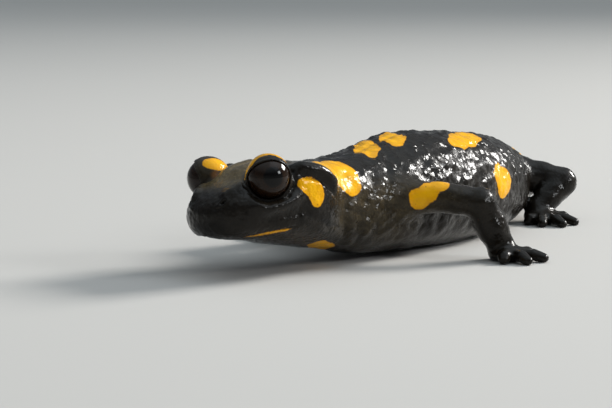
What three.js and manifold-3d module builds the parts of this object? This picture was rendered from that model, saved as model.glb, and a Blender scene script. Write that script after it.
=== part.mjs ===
// A life-size fire salamander (Salamandra salamandra), as a still museum model.
// It stands on straightened forelegs with its chin clear of the ground, the left foreleg pushed
// back and out, the belly and tail resting on the ground and the tail curled round to its right.
//
// Frame: millimetres, +Z up, ground at Z = 0, +X the way the shoulders face, +Y the animal's left.
// The origin is under the middle of the bounding box.
// The body is described along its spine. s is the distance behind the tip of the snout, along the
// spine; v is the distance to the animal's left of it, and z the height above the ground.

import * as THREE from "three";
import { mergeVertices } from "three/addons/utils/BufferGeometryUtils.js";
import Module from "manifold-3d";

const wasm = await Module();
wasm.setup();

// ---------------------------------------------------------------- driving dimensions

const TOTAL_LENGTH = 180; // snout to tail tip, along the spine
const GAP = 0.3; // between neighbouring pieces
const FLOOR_FLAT = 0.0; // height that every resting flat lies at

// The spine's forward heading, in degrees: each row turns it smoothly by `turn` from s0 to s1.
const HEAD_HEADING = -7.5;
const BENDS = [
  { s0: 21, s1: 36, turn: 7.5 }, // neck
  { s0: 36, s1: 96, turn: 23 }, // trunk
  { s0: 92, s1: 150, turn: 48 }, // tail, swung to the right
  { s0: 146, s1: 180, turn: -16 }, // the tail's end straightens again
];

// The head is tipped a little, left side up, about a line at ROLL_HEIGHT. The neck takes it out.
const HEAD_ROLL = 5.7; // degrees
const ROLL_HEIGHT = 11;
const ROLL_END = { s0: 16, s1: 36 };

// Sections of head, neck, trunk and tail: half width, height of the back and of the belly, and the
// height at which the section is widest. Heights below 0 are flattened by the ground.
const SECTIONS = [
  { s: 0, half: 4.8, back: 12.3, belly: 6.6, widest: 9.5 },
  { s: 5, half: 7.2, back: 14.7, belly: 5.85, widest: 9.6 },
  { s: 10, half: 8.7, back: 16.4, belly: 5.1, widest: 9.7 },
  { s: 16, half: 9.7, back: 16.9, belly: 4.0, widest: 9.7 },
  { s: 23, half: 8.0, back: 16.4, belly: 2.7, widest: 9.4 },
  { s: 33, half: 9.2, back: 17.0, belly: 0.7, widest: 9.0 },
  { s: 47, half: 10.8, back: 19.0, belly: 0.0, widest: 8.6 },
  { s: 62, half: 11.3, back: 18.1, belly: -0.5, widest: 8.0 },
  { s: 78, half: 9.8, back: 16.0, belly: -0.5, widest: 7.2 },
  { s: 89, half: 7.8, back: 13.9, belly: -0.4, widest: 6.5 },
  { s: 100, half: 6.1, back: 11.8, belly: -0.4, widest: 5.7 },
  { s: 125, half: 4.8, back: 9.7, belly: -0.35, widest: 4.7 },
  { s: 155, half: 3.5, back: 7.0, belly: -0.3, widest: 3.4 },
  { s: 180, half: 2.2, back: 4.5, belly: -0.25, widest: 2.2 },
];
const SNOUT_ROUND = 3.6; // length over which the snout rounds off
const TAIL_ROUND = 4.5; // and the tail's tip

// Boundaries between the pieces of the spine, s in mm.
const CUTS = {
  neck: 22.5,
  chest: 30,
  belly: 45,
  loin: 64,
  pelvis: 81,
  tail: 99,
  tailMid: 122,
  tailTip: 149,
};

// Eyes: the same on both sides, mirrored. The gaze is turned out from straight ahead, and up.
const EYE = { s: 8.1, v: 6.65, z: 14.95, radius: 3.0, socket: 3.2, lid: 3.6 };
const GAZE = { out: 60, up: 6 }; // degrees
const LID_OPENING = { across: 70, high: 58 }; // half angles round the gaze, degrees

// The swellings behind the eyes that hold the poison glands.
const PAROTOID = { s: 16.6, v: 6.8, z: 13.5, length: 5.8, width: 2.5, height: 2.9, toe: 7 };

// The mouth line rises from the snout to its corner behind the eye.
const MOUTH = [
  { s: -2, z: 6.7 },
  { s: 5, z: 6.6 },
  { s: 12, z: 7.4 },
  { s: 24, z: 8.2 },
];

// Limbs. Joints are given as steps from the last joint: back along the body, out to the side, and up.
const ARM_LEFT = {
  root: { s: 34, v: 5.5, z: 9.4 },
  steps: [
    { back: 8.2, out: 12.9, up: 0.9 },
    { back: 3.2, out: 2.2, up: -7.9 },
  ],
  aim: -2,
};
const ARM_RIGHT = {
  root: { s: 34, v: 5.5, z: 9.0 },
  steps: [
    { back: 2.6, out: 11.4, up: 0.4 },
    { back: 3.0, out: 1.8, up: -7.0 },
  ],
  aim: -6,
};
const LEG_LEFT = {
  root: { s: 88, v: 4.4, z: 7.0 },
  steps: [
    { back: 0.3, out: 9.5, up: -0.2 },
    { back: -4.8, out: -3.6, up: -4.4 },
  ],
  aim: 42,
};
const LEG_RIGHT = {
  root: { s: 88, v: 4.4, z: 6.8 },
  steps: [
    { back: 2.4, out: 10.6, up: 0.8 },
    { back: 5.6, out: 1.0, up: -5.2 },
  ],
  aim: -6,
};
const ARM_RADII = { root: 3.2, upper: 2.5, joint: 2.3, lower: 2.35, end: 1.95 };
const LEG_RADII = { root: 3.6, upper: 2.9, joint: 2.5, lower: 2.5, end: 2.1 };
const WRIST_CUT = 2.9; // height at which a hand or foot is parted from its limb

// Digits: the angle from the foot's aim (positive is to the body's front) and the length past the palm.
const FINGERS = [
  { angle: 66, length: 2.7 },
  { angle: 24, length: 4.3 },
  { angle: -16, length: 4.7 },
  { angle: -60, length: 3.3 },
];
const TOES = [
  { angle: 74, length: 2.6 },
  { angle: 38, length: 4.2 },
  { angle: 6, length: 5.2 },
  { angle: -26, length: 4.9 },
  { angle: -62, length: 3.2 },
];
const PALM = { length: 2.9, width: 2.75, height: 1.55 };
const SOLE = { length: 3.3, width: 3.1, height: 1.65 };
const DIGIT = { root: 1.12, middle: 0.98, tip: 0.86 };

// Ring and step counts, kept low: these solids carry size and collision, not the finish.
const BODY_SIDES = 24;
const TAIL_SIDES = 14;
const LIMB_SIDES = 10;
const DIGIT_SIDES = 6;

// ---------------------------------------------------------------- colours

const skinBlack = new THREE.MeshStandardMaterial({ color: 0x15130f, roughness: 0.3, metalness: 0 });
const eyeBlack = new THREE.MeshStandardMaterial({ color: 0x0a0705, roughness: 0.05, metalness: 0 });

// ---------------------------------------------------------------- small maths

const degrees = (a) => (a * Math.PI) / 180;
const clamp01 = (x) => Math.min(1, Math.max(0, x));
const smooth = (x) => x * x * (3 - 2 * x);
const between = (x, a, b) => clamp01((x - a) / (b - a));
const signedPower = (x, p) => Math.sign(x) * Math.abs(x) ** p;

// A smooth curve through rows[].s against rows[].key that doesn't overshoot (monotone cubic).
function curveThrough(rows, key) {
  const x = rows.map((r) => r.s);
  const y = rows.map((r) => r[key]);
  const slope = y.slice(1).map((v, i) => (v - y[i]) / (x[i + 1] - x[i]));
  const tangent = y.map((_, i) => {
    if (i === 0) return slope[0];
    if (i === y.length - 1) return slope[i - 1];
    if (slope[i - 1] * slope[i] <= 0) return 0;
    return (2 * slope[i - 1] * slope[i]) / (slope[i - 1] + slope[i]);
  });
  return (s) => {
    let i = 0;
    while (i < x.length - 2 && s > x[i + 1]) i += 1;
    const h = x[i + 1] - x[i];
    const t = clamp01((s - x[i]) / h);
    const t2 = t * t;
    const t3 = t2 * t;
    return (
      (2 * t3 - 3 * t2 + 1) * y[i] +
      (t3 - 2 * t2 + t) * h * tangent[i] +
      (3 * t2 - 2 * t3) * y[i + 1] +
      (t3 - t2) * h * tangent[i + 1]
    );
  };
}

// ---------------------------------------------------------------- the spine

const heading = (s) =>
  degrees(BENDS.reduce((sum, b) => sum + b.turn * smooth(between(s, b.s0, b.s1)), HEAD_HEADING));
const roll = (s) => degrees(HEAD_ROLL * (1 - smooth(between(s, ROLL_END.s0, ROLL_END.s1))));

// The spine's plan, walked back from the snout in short steps.
const SPINE_STEP = 0.5;
const spinePlan = [new THREE.Vector2(0, 0)];
for (let s = 0; s < TOTAL_LENGTH; s += SPINE_STEP) {
  const h = heading(s + SPINE_STEP / 2);
  spinePlan.push(
    spinePlan.at(-1).clone().sub(new THREE.Vector2(Math.cos(h), Math.sin(h)).multiplyScalar(SPINE_STEP)),
  );
}
function spineAt(s) {
  const i = Math.min(spinePlan.length - 2, Math.max(0, Math.floor(s / SPINE_STEP)));
  return spinePlan[i].clone().lerp(spinePlan[i + 1], s / SPINE_STEP - i);
}

// A point given by s, v and z, in the model's frame.
function place(s, v, z) {
  const h = heading(s);
  const r = roll(s);
  const lift = z - ROLL_HEIGHT;
  const side = v * Math.cos(r) - lift * Math.sin(r);
  const p = spineAt(s);
  return new THREE.Vector3(
    p.x - Math.sin(h) * side,
    p.y + Math.cos(h) * side,
    ROLL_HEIGHT + v * Math.sin(r) + lift * Math.cos(r),
  );
}

// ---------------------------------------------------------------- solids from rings

// A closed geometry from rings of points, each with a fan across its end.
function loft(rings) {
  const sides = rings[0].length;
  const points = rings.flat();
  const middle = (ring) => ring.reduce((m, p) => m.add(p), new THREE.Vector3()).divideScalar(sides);
  const first = points.push(middle(rings[0])) - 1;
  const last = points.push(middle(rings.at(-1))) - 1;
  const index = [];
  for (let k = 0; k < sides; k += 1) {
    const next = (k + 1) % sides;
    for (let i = 0; i < rings.length - 1; i += 1) {
      const a = i * sides + k;
      const b = i * sides + next;
      index.push(a, b, a + sides, b, b + sides, a + sides);
    }
    const end = (rings.length - 1) * sides;
    index.push(first, next, k, last, end + k, end + next);
  }
  return new THREE.BufferGeometry().setFromPoints(points).setIndex(index);
}

// A closed geometry as a manifold-3d solid, turned right side out.
function solid(geometry) {
  const bare = geometry.clone();
  bare.deleteAttribute("normal");
  bare.deleteAttribute("uv");
  const merged = mergeVertices(bare, 1e-4);
  const triVerts = new Uint32Array(merged.index.array);
  const p = merged.attributes.position;
  const corner = [new THREE.Vector3(), new THREE.Vector3(), new THREE.Vector3()];
  let volume = 0;
  for (let i = 0; i < triVerts.length; i += 3) {
    corner.forEach((c, k) => c.fromBufferAttribute(p, triVerts[i + k]));
    volume += corner[0].dot(corner[1].clone().cross(corner[2]));
  }
  if (volume < 0)
    for (let i = 0; i < triVerts.length; i += 3)
      [triVerts[i + 1], triVerts[i + 2]] = [triVerts[i + 2], triVerts[i + 1]];
  return new wasm.Manifold(
    new wasm.Mesh({ numProp: 3, vertProperties: new Float32Array(p.array), triVerts }),
  );
}

// The largest connected part of a solid, without the crumbs that a cut may leave.
const largest = (s) => s.decompose().sort((a, b) => b.volume() - a.volume())[0];

function meshOf(name, shape, material) {
  const m = shape.getMesh();
  const positions = new Float32Array(m.numVert * 3);
  for (let i = 0; i < m.numVert; i += 1)
    positions.set(m.vertProperties.subarray(i * m.numProp, i * m.numProp + 3), i * 3);
  const geometry = new THREE.BufferGeometry()
    .setAttribute("position", new THREE.BufferAttribute(positions, 3))
    .setIndex(new THREE.BufferAttribute(new Uint32Array(m.triVerts), 1));
  geometry.computeVertexNormals();
  const mesh = new THREE.Mesh(geometry, material);
  mesh.name = name;
  return mesh;
}

// An ellipsoid at a place on the body, toed in or out about the vertical.
function ellipsoid(s, v, z, length, width, height, toe = 0) {
  const at = place(s, v, z);
  const turn = new THREE.Euler(roll(s), 0, heading(s) + degrees(toe), "ZXY");
  const matrix = new THREE.Matrix4().compose(
    at,
    new THREE.Quaternion().setFromEuler(turn),
    new THREE.Vector3(length, width, height),
  );
  return solid(new THREE.SphereGeometry(1, 16, 9).applyMatrix4(matrix));
}

// ---------------------------------------------------------------- head, neck, trunk and tail

const half = curveThrough(SECTIONS, "half");
const back = curveThrough(SECTIONS, "back");
const belly = curveThrough(SECTIONS, "belly");
const widest = curveThrough(SECTIONS, "widest");

// The share of its full size that a section has near the two rounded ends.
function rounding(s) {
  const front = 1 - between(s, 0, SNOUT_ROUND);
  const rear = 1 - between(TOTAL_LENGTH - s, 0, TAIL_ROUND);
  return (1 - front ** 2.3) ** (1 / 2.3) * (1 - rear ** 2) ** 0.5;
}

// How square a section is: 2 is an ellipse. The head is boxier than the trunk, and the tail round.
const SQUARENESS = [
  { s: 0, above: 2.2, below: 2.2 },
  { s: 8, above: 2.7, below: 2.3 },
  { s: 20, above: 2.5, below: 2.4 },
  { s: 34, above: 2.1, below: 2.4 },
  { s: 90, above: 2.15, below: 2.5 },
  { s: 110, above: 2.0, below: 2.2 },
  { s: 180, above: 2.0, below: 2.0 },
];
const above = curveThrough(SQUARENESS, "above");
const below = curveThrough(SQUARENESS, "below");

// One section of the body as a ring of points. grow makes it bigger all round.
function bodyRing(s, sides, grow = 0) {
  const k = Math.max(rounding(s), 0.02);
  const middle = widest(s);
  return Array.from({ length: sides }, (_, i) => {
    const a = ((i + 0.5) / sides) * 2 * Math.PI;
    const power = 2 / (Math.sin(a) > 0 ? above(s) : below(s));
    const height = Math.sin(a) > 0 ? back(s) - middle : middle - belly(s);
    const v = signedPower(Math.cos(a), power) * (half(s) * k + grow);
    const z = middle + signedPower(Math.sin(a), power) * (height * k + grow);
    const p = place(s, v, z);
    p.z = Math.max(p.z, FLOOR_FLAT - grow);
    return p;
  });
}

// A length of the body between two values of s.
function bodyLength(s0, s1, steps, sides, grow = 0) {
  const stations = Array.from({ length: steps + 1 }, (_, i) => s0 + ((s1 - s0) * i) / steps);
  return loft(stations.map((s) => bodyRing(s, sides, grow)));
}

// The snout's rings lie closer together where it rounds off.
function headShell() {
  const SNOUT_RINGS = 5;
  const HEAD_RINGS = 8;
  const end = CUTS.neck - GAP / 2;
  const stations = [];
  for (let i = 0; i < SNOUT_RINGS; i += 1)
    stations.push(SNOUT_ROUND * (1 - Math.cos((i / SNOUT_RINGS) * Math.PI * 0.5)));
  for (let i = 0; i <= HEAD_RINGS; i += 1)
    stations.push(SNOUT_ROUND + ((end - SNOUT_ROUND) * i) / HEAD_RINGS);
  return solid(loft(stations.map((s) => bodyRing(s, BODY_SIDES))));
}

// Everything on one side of the mouth line, as a slab wider than the head.
function mouthSide(upper) {
  const REACH = 30;
  const LINE_STEPS = 14;
  const mouth = curveThrough(MOUTH, "z");
  const from = MOUTH[0].s;
  const to = MOUTH.at(-1).s;
  const edge = Array.from({ length: LINE_STEPS + 1 }, (_, i) => from + ((to - from) * i) / LINE_STEPS);
  const shift = upper ? GAP / 2 : -GAP / 2;
  const far = upper ? REACH : -REACH;
  const rings = edge.map((s) => [
    place(s, -REACH, mouth(s) + shift),
    place(s, REACH, mouth(s) + shift),
    place(s, REACH, mouth(s) + far),
    place(s, -REACH, mouth(s) + far),
  ]);
  return solid(loft(rings));
}

// The part of a lid that is open: a flattened cone round the gaze, as deep as the lid.
function lidOpening(side) {
  const RIM = 14;
  const out = heading(EYE.s) + side * degrees(GAZE.out);
  const up = degrees(GAZE.up);
  const gaze = new THREE.Vector3(Math.cos(out) * Math.cos(up), Math.sin(out) * Math.cos(up), Math.sin(up));
  const across = new THREE.Vector3(0, 0, 1).cross(gaze).normalize();
  const rise = gaze.clone().cross(across);
  const centre = place(EYE.s, side * EYE.v, EYE.z);
  const ring = (reach) =>
    Array.from({ length: RIM }, (_, i) => {
      const a = (i / RIM) * 2 * Math.PI;
      return centre
        .clone()
        .addScaledVector(gaze, reach)
        .addScaledVector(across, Math.cos(a) * reach * Math.tan(degrees(LID_OPENING.across)))
        .addScaledVector(rise, Math.sin(a) * reach * Math.tan(degrees(LID_OPENING.high)));
    });
  const reach = EYE.lid + GAP;
  return solid(loft([ring(0.2), ring(reach)])).intersect(eyeBall(side, reach));
}

function eyeBall(side, radius) {
  return ellipsoid(EYE.s, side * EYE.v, EYE.z, radius, radius, radius);
}

function buildHead() {
  let flesh = headShell();
  for (const side of [1, -1]) {
    const { s, v, z, length, width, height, toe } = PAROTOID;
    flesh = flesh.add(eyeBall(side, EYE.lid));
    flesh = flesh.add(ellipsoid(s, side * v, z, length, width, height, side * toe));
  }
  for (const side of [1, -1]) {
    flesh = flesh.subtract(eyeBall(side, EYE.socket));
    flesh = flesh.subtract(lidOpening(side));
  }
  return [
    meshOf("head", largest(flesh.intersect(mouthSide(true))), skinBlack),
    meshOf("lower_jaw", largest(flesh.intersect(mouthSide(false))), skinBlack),
    meshOf("eye_left", eyeBall(1, EYE.radius), eyeBlack),
    meshOf("eye_right", eyeBall(-1, EYE.radius), eyeBlack),
  ];
}

const SPINE_PIECES = [
  ["neck", CUTS.neck, CUTS.chest, 4, BODY_SIDES],
  ["chest", CUTS.chest, CUTS.belly, 5, BODY_SIDES],
  ["belly", CUTS.belly, CUTS.loin, 6, BODY_SIDES],
  ["loin", CUTS.loin, CUTS.pelvis, 6, BODY_SIDES],
  ["pelvis", CUTS.pelvis, CUTS.tail, 5, BODY_SIDES],
  ["tail_base", CUTS.tail, CUTS.tailMid, 7, TAIL_SIDES],
  ["tail_middle", CUTS.tailMid, CUTS.tailTip, 8, TAIL_SIDES],
];
function buildSpinePieces() {
  const meshes = SPINE_PIECES.map(([name, s0, s1, steps, sides]) =>
    meshOf(name, solid(bodyLength(s0 + GAP / 2, s1 - GAP / 2, steps, sides)), skinBlack),
  );
  const TIP_RINGS = 7;
  const ROUND_RINGS = 4;
  const start = CUTS.tailTip + GAP / 2;
  const roundStart = TOTAL_LENGTH - TAIL_ROUND;
  const stations = [];
  for (let i = 0; i < TIP_RINGS; i += 1) stations.push(start + ((roundStart - start) * i) / TIP_RINGS);
  for (let i = 0; i <= ROUND_RINGS; i += 1)
    stations.push(roundStart + TAIL_ROUND * Math.sin((i / ROUND_RINGS) * Math.PI * 0.5));
  meshes.push(meshOf("tail_tip", solid(loft(stations.map((s) => bodyRing(s, TAIL_SIDES)))), skinBlack));
  return meshes;
}

// ---------------------------------------------------------------- limbs

// A ring round point p, square to direction d; flat is its height over its width.
function limbRing(p, d, radius, flat, sides) {
  const side = new THREE.Vector3(0, 0, 1).cross(d);
  if (side.length() < 0.05) side.set(0, 1, 0);
  side.normalize();
  const up = d.clone().cross(side).normalize();
  return Array.from({ length: sides }, (_, i) => {
    const a = ((i + 0.5) / sides) * 2 * Math.PI;
    const q = p
      .clone()
      .addScaledVector(side, Math.cos(a) * radius)
      .addScaledVector(up, Math.sin(a) * radius * flat);
    q.z = Math.max(q.z, FLOOR_FLAT);
    return q;
  });
}

// A tube through points, with the radius going through radii on the way, and a rounded far end.
function tube(points, radii, steps, sides, flat = 1) {
  const ROUND_END = [0.55, 0.88];
  const path = new THREE.CatmullRomCurve3(points, false, "centripetal");
  const radiusAt = (t) => {
    const x = t * (radii.length - 1);
    const i = Math.min(radii.length - 2, Math.floor(x));
    return radii[i] + (radii[i + 1] - radii[i]) * smooth(x - i);
  };
  const rings = [];
  for (let i = 0; i <= steps; i += 1) {
    const t = i / steps;
    rings.push(limbRing(path.getPointAt(t), path.getTangentAt(t), radiusAt(t), flat, sides));
  }
  const end = path.getPointAt(1);
  const ahead = path.getTangentAt(1);
  for (const a of ROUND_END) {
    const bend = (a * Math.PI) / 2;
    const p = end.clone().addScaledVector(ahead, radiusAt(1) * Math.sin(bend));
    rings.push(limbRing(p, ahead, radiusAt(1) * Math.cos(bend), flat, sides));
  }
  return solid(loft(rings));
}

// The joints of a limb in the model's frame: root, elbow or knee, wrist or ankle.
function limbJoints(limb, side) {
  const h = heading(limb.root.s);
  const joints = [place(limb.root.s, side * limb.root.v, limb.root.z)];
  for (const step of limb.steps) {
    const p = joints.at(-1).clone();
    p.x += -Math.cos(h) * step.back - Math.sin(h) * side * step.out;
    p.y += -Math.sin(h) * step.back + Math.cos(h) * side * step.out;
    p.z += step.up;
    joints.push(p);
  }
  return joints;
}

// A hand or foot: a low palm with its digits spread round it, flat underneath.
function footSolid(ankle, limb, side, digits, palm) {
  const outward = heading(limb.root.s) + side * degrees(90 - limb.aim);
  const ahead = new THREE.Vector3(Math.cos(outward), Math.sin(outward), 0);
  const centre = ankle.clone().addScaledVector(ahead, palm.length * 0.4).setZ(palm.height * 0.6);
  const ball = new THREE.SphereGeometry(1, 10, 6)
    .scale(palm.length, palm.width, palm.height)
    .rotateZ(outward)
    .translate(centre.x, centre.y, centre.z);
  const p = ball.attributes.position;
  for (let i = 0; i < p.count; i += 1) p.setZ(i, Math.max(p.getZ(i), FLOOR_FLAT));
  let foot = solid(ball);
  for (const digit of digits) {
    const a = outward - side * degrees(digit.angle);
    const d = new THREE.Vector3(Math.cos(a), Math.sin(a), 0);
    const reach = palm.length * 0.72;
    const points = [
      centre.clone().addScaledVector(d, reach * 0.35).setZ(1.25),
      centre.clone().addScaledVector(d, reach + digit.length * 0.45).setZ(1.15),
      centre.clone().addScaledVector(d, reach + digit.length - DIGIT.tip).setZ(0.68),
    ];
    foot = foot.add(tube(points, [DIGIT.root, DIGIT.middle, DIGIT.tip], 2, DIGIT_SIDES, 0.9));
  }
  return foot;
}

// Everything on the side of a plane that its normal points to.
function beyond(point, normal) {
  const SIZE = 90;
  const turn = new THREE.Quaternion().setFromUnitVectors(new THREE.Vector3(0, 0, 1), normal);
  const box = new THREE.BoxGeometry(SIZE, SIZE, SIZE).translate(0, 0, SIZE / 2 + GAP / 2);
  return solid(box.applyQuaternion(turn).translate(point.x, point.y, point.z));
}

// One whole limb, cut off by the trunk and parted at its joints into upper part, lower part and foot.
function buildLimb(limb, side, radii, digits, palm, trunk) {
  const [root, joint, ankle] = limbJoints(limb, side);
  const upperWay = joint.clone().sub(root).normalize();
  const lowerWay = ankle.clone().sub(joint).normalize();
  const bend = upperWay.clone().add(lowerWay).normalize();
  const level = new THREE.Vector3(0, 0, 1);
  const wrist = new THREE.Vector3(ankle.x, ankle.y, WRIST_CUT);
  const whole = tube([root, joint], [radii.root, radii.upper, radii.joint], 3, LIMB_SIDES)
    .add(tube([joint, ankle], [radii.joint, radii.lower, radii.end], 3, LIMB_SIDES))
    .add(footSolid(ankle, limb, side, digits, palm))
    .subtract(trunk);
  const aboveWrist = whole.intersect(beyond(wrist, level));
  return [
    largest(aboveWrist.intersect(beyond(joint, bend.clone().negate()))),
    largest(aboveWrist.intersect(beyond(joint, bend))),
    largest(whole.intersect(beyond(wrist, level.clone().negate()))),
  ];
}

// ---------------------------------------------------------------- assembly

const LIMBS = [
  { limb: ARM_LEFT, side: 1, names: ["upper_arm_left", "forearm_left", "hand_left"] },
  { limb: ARM_RIGHT, side: -1, names: ["upper_arm_right", "forearm_right", "hand_right"] },
  { limb: LEG_LEFT, side: 1, names: ["thigh_left", "shank_left", "foot_left"], hind: true },
  { limb: LEG_RIGHT, side: -1, names: ["thigh_right", "shank_right", "foot_right"], hind: true },
];

const group = new THREE.Group();
group.add(...buildHead());
group.add(...buildSpinePieces());
for (const { limb, side, names, hind } of LIMBS) {
  const SPAN = 18;
  const trunk = solid(bodyLength(limb.root.s - SPAN, limb.root.s + SPAN, 12, BODY_SIDES, GAP));
  const pieces = hind
    ? buildLimb(limb, side, LEG_RADII, TOES, SOLE, trunk)
    : buildLimb(limb, side, ARM_RADII, FINGERS, PALM, trunk);
  pieces.forEach((piece, i) => group.add(meshOf(names[i], piece, skinBlack)));
}

// The origin goes under the middle of the bounding box.
const middle = new THREE.Box3().setFromObject(group).getCenter(new THREE.Vector3());
for (const mesh of group.children) mesh.geometry.translate(-middle.x, -middle.y, 0);

export default group;
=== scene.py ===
"""A life-size fire salamander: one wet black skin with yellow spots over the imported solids, and two eyes.

The skin is the zero surface of a distance field, meshed once in steps of GRID, then split finer where the
head and feet need it, and finished with relief: lips, nostrils, folds, grooves, glands.

Lengths are in millimetres until a mesh is made. The body is described as in the solids, along its spine:
s is the distance behind the snout's tip, v the distance to the animal's left, z the height.
The field's points are rows of x, y, z and s, where s is the last known place along the spine.
"""

import math
from itertools import product

import bpy
import numpy as np
from mathutils import Matrix, Vector


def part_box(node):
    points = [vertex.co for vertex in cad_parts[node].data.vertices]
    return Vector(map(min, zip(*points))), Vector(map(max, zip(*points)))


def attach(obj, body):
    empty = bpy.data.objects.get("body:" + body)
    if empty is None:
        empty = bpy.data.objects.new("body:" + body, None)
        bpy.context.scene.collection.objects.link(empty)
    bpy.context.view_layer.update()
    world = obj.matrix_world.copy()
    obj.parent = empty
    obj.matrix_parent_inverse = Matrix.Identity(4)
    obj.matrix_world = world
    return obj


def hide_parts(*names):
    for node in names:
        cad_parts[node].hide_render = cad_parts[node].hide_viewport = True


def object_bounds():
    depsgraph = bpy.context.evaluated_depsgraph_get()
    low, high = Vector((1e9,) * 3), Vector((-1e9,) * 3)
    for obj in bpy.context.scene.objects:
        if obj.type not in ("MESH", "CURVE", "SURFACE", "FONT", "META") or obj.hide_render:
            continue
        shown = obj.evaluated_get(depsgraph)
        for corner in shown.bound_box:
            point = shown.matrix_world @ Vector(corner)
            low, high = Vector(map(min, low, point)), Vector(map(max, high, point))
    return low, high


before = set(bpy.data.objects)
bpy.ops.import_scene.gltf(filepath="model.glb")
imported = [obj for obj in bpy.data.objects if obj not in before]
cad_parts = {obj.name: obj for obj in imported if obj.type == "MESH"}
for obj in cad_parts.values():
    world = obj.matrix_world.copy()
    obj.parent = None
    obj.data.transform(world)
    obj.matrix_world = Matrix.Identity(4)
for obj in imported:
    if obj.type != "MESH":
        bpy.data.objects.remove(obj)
CAD_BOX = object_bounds()
MM = 0.001

# ------------ sizes of the body
# They are the solids' own, but for the eyes, the arms' radii and the left arm's steps, which follow
# the photograph a little closer than the solids do.

TOTAL_LENGTH = 180
HEAD_HEADING = -7.5
BENDS = [(21, 36, 7.5), (36, 96, 23), (92, 150, 48), (146, 180, -16)]  # from s, to s, degrees
HEAD_ROLL = 5.7
ROLL_HEIGHT = 11
ROLL_END = (16, 36)

# s, half width, back, belly, height of the widest place
SECTIONS = [
    (0, 4.8, 12.3, 6.6, 9.5),
    (5, 7.2, 14.7, 5.85, 9.6),
    (10, 8.7, 16.4, 5.1, 9.7),
    (16, 9.7, 16.9, 4.0, 9.7),
    (23, 8.0, 16.4, 2.7, 9.4),
    (33, 9.2, 17.0, 0.7, 9.0),
    (47, 10.8, 19.0, 0.0, 8.6),
    (62, 11.3, 18.1, -0.5, 8.0),
    (78, 9.8, 16.0, -0.5, 7.2),
    (89, 7.8, 13.9, -0.4, 6.5),
    (100, 6.1, 11.8, -0.4, 5.7),
    (125, 4.8, 9.7, -0.35, 4.7),
    (155, 3.5, 7.0, -0.3, 3.4),
    (180, 2.2, 4.5, -0.25, 2.2),
]
# s, and the power of the section's outline above and below its widest place: 2 is an ellipse
SQUARENESS = [
    (0, 2.2, 2.2),
    (8, 2.7, 2.3),
    (20, 2.5, 2.4),
    (34, 2.1, 2.4),
    (90, 2.15, 2.5),
    (110, 2.0, 2.2),
    (180, 2.0, 2.0),
]
SNOUT_ROUND, SNOUT_POWER = 3.6, 2.3
TAIL_ROUND, TAIL_POWER = 4.5, 2.0

EYE_S, EYE_V, EYE_Z = 8.1, 6.65, 14.95
EYE_RADIUS = 3.25  # the solids have 3.0
GAZE_OUT, GAZE_UP = 60, 6  # degrees
MOUTH = [(-2, 6.7), (5, 6.6), (12, 7.4), (24, 8.2)]  # s, z

# The glands behind the eyes: place (s, v, z), half sizes, degrees their front ends are turned out.
PAROTOID_AT = (16.6, 6.8, 13.5)
PAROTOID_SIZE = (5.8, 2.5, 2.9)
PAROTOID_TOE = 7

# Each limb: side, root (s, v, z), steps to elbow or knee and to wrist or ankle (back, out, up), aim.
LIMBS = {
    "arm_left": (1, (34, 5.5, 9.4), (8.3, 13.1, -0.2), (3.1, 2.0, -6.8), -2),
    "arm_right": (-1, (34, 5.5, 9.0), (2.6, 11.4, 0.4), (3.0, 1.8, -7.0), -6),
    "leg_left": (1, (88, 4.4, 7.0), (0.3, 9.5, -0.2), (-4.8, -3.6, -4.4), 42),
    "leg_right": (-1, (88, 4.4, 6.8), (2.4, 10.6, 0.8), (5.6, 1.0, -5.2), -6),
}
# Radii at root, upper middle, elbow or knee, lower middle, wrist or ankle; palm; digits (angle, length).
ARM = {
    "radii": (3.3, 2.5, 2.35, 2.6, 2.15),
    "palm": (2.9, 2.75, 1.55),
    "digits": [(66, 2.7), (24, 4.3), (-16, 4.7), (-60, 3.3)],
}
LEG = {
    "radii": (3.6, 2.9, 2.5, 2.5, 2.1),
    "palm": (3.3, 3.1, 1.65),
    "digits": [(74, 2.6), (38, 4.2), (6, 5.2), (-26, 4.9), (-62, 3.2)],
}
DIGIT_RADII = (1.12, 0.98, 0.86)
DIGIT_HEIGHTS = (1.25, 1.15, 0.68)
DIGIT_FLATNESS = 0.9
PALM_AHEAD, PALM_UP = 0.4, 0.6  # the palm's middle, as shares of its half length and half height
# Where a digit's length starts, as a share of the palm's; its root, as a share of that; its middle joint.
DIGIT_BASE, DIGIT_ROOT, DIGIT_MIDDLE = 0.72, 0.35, 0.45

# ------------ sizes of the skin alone

GRID = 0.5  # step of the first mesh
SPLIT_OVER = 1.4  # an edge is split where it is this many times longer than wanted
SOCKET = EYE_RADIUS + 0.04
LID = 3.53  # radius of the lids round the eye
LID_OPENING = {"front": 84, "rear": 64, "up": 47, "down": 83}  # half angles round the gaze, degrees
OPENING_SCALE = 0.93  # brings the opening's measure near a distance
LIMB_ARCH = 0.75  # how far the upper limbs arch upward
FINE_FACE = 0.15  # edge length round the eyes, nostrils and mouth
FINE_HEAD = 0.27
FINE_FOOT = 0.33
COARSE = 0.6  # and on the rest
HEAD_END = 27  # s behind which the skin has no part of the head
LIMB_REACH = 6  # how far round a limb's joints its distance is worked out
LOWER_FAR = 4  # the lower limb counts as at most this much further off than the upper one
# How widely shapes are rounded into each other where they meet.
BLEND = {"gland": 1.6, "lid": 0.8, "lid edge": 0.14, "socket": 0.05, "ground": 0.12}
SPOT_BLEND, CORNER_BLEND = 0.4, 1.0
LIMB_BLEND = {"root": 2.4, "joint": 0.9, "foot": 1.0, "digit": 0.55, "digit joint": 0.25}

# ------------ small maths


def smooth(x):
    return x * x * (3 - 2 * x)


def step(x, a, b):
    """0 below a, 1 above b, smooth between."""
    return smooth(np.clip((x - a) / (b - a), 0, 1))


def between(x, a, b, c, d):
    """0 below a, 1 from b to c, 0 above d, smooth between."""
    return step(x, a, b) * (1 - step(x, c, d))


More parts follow.
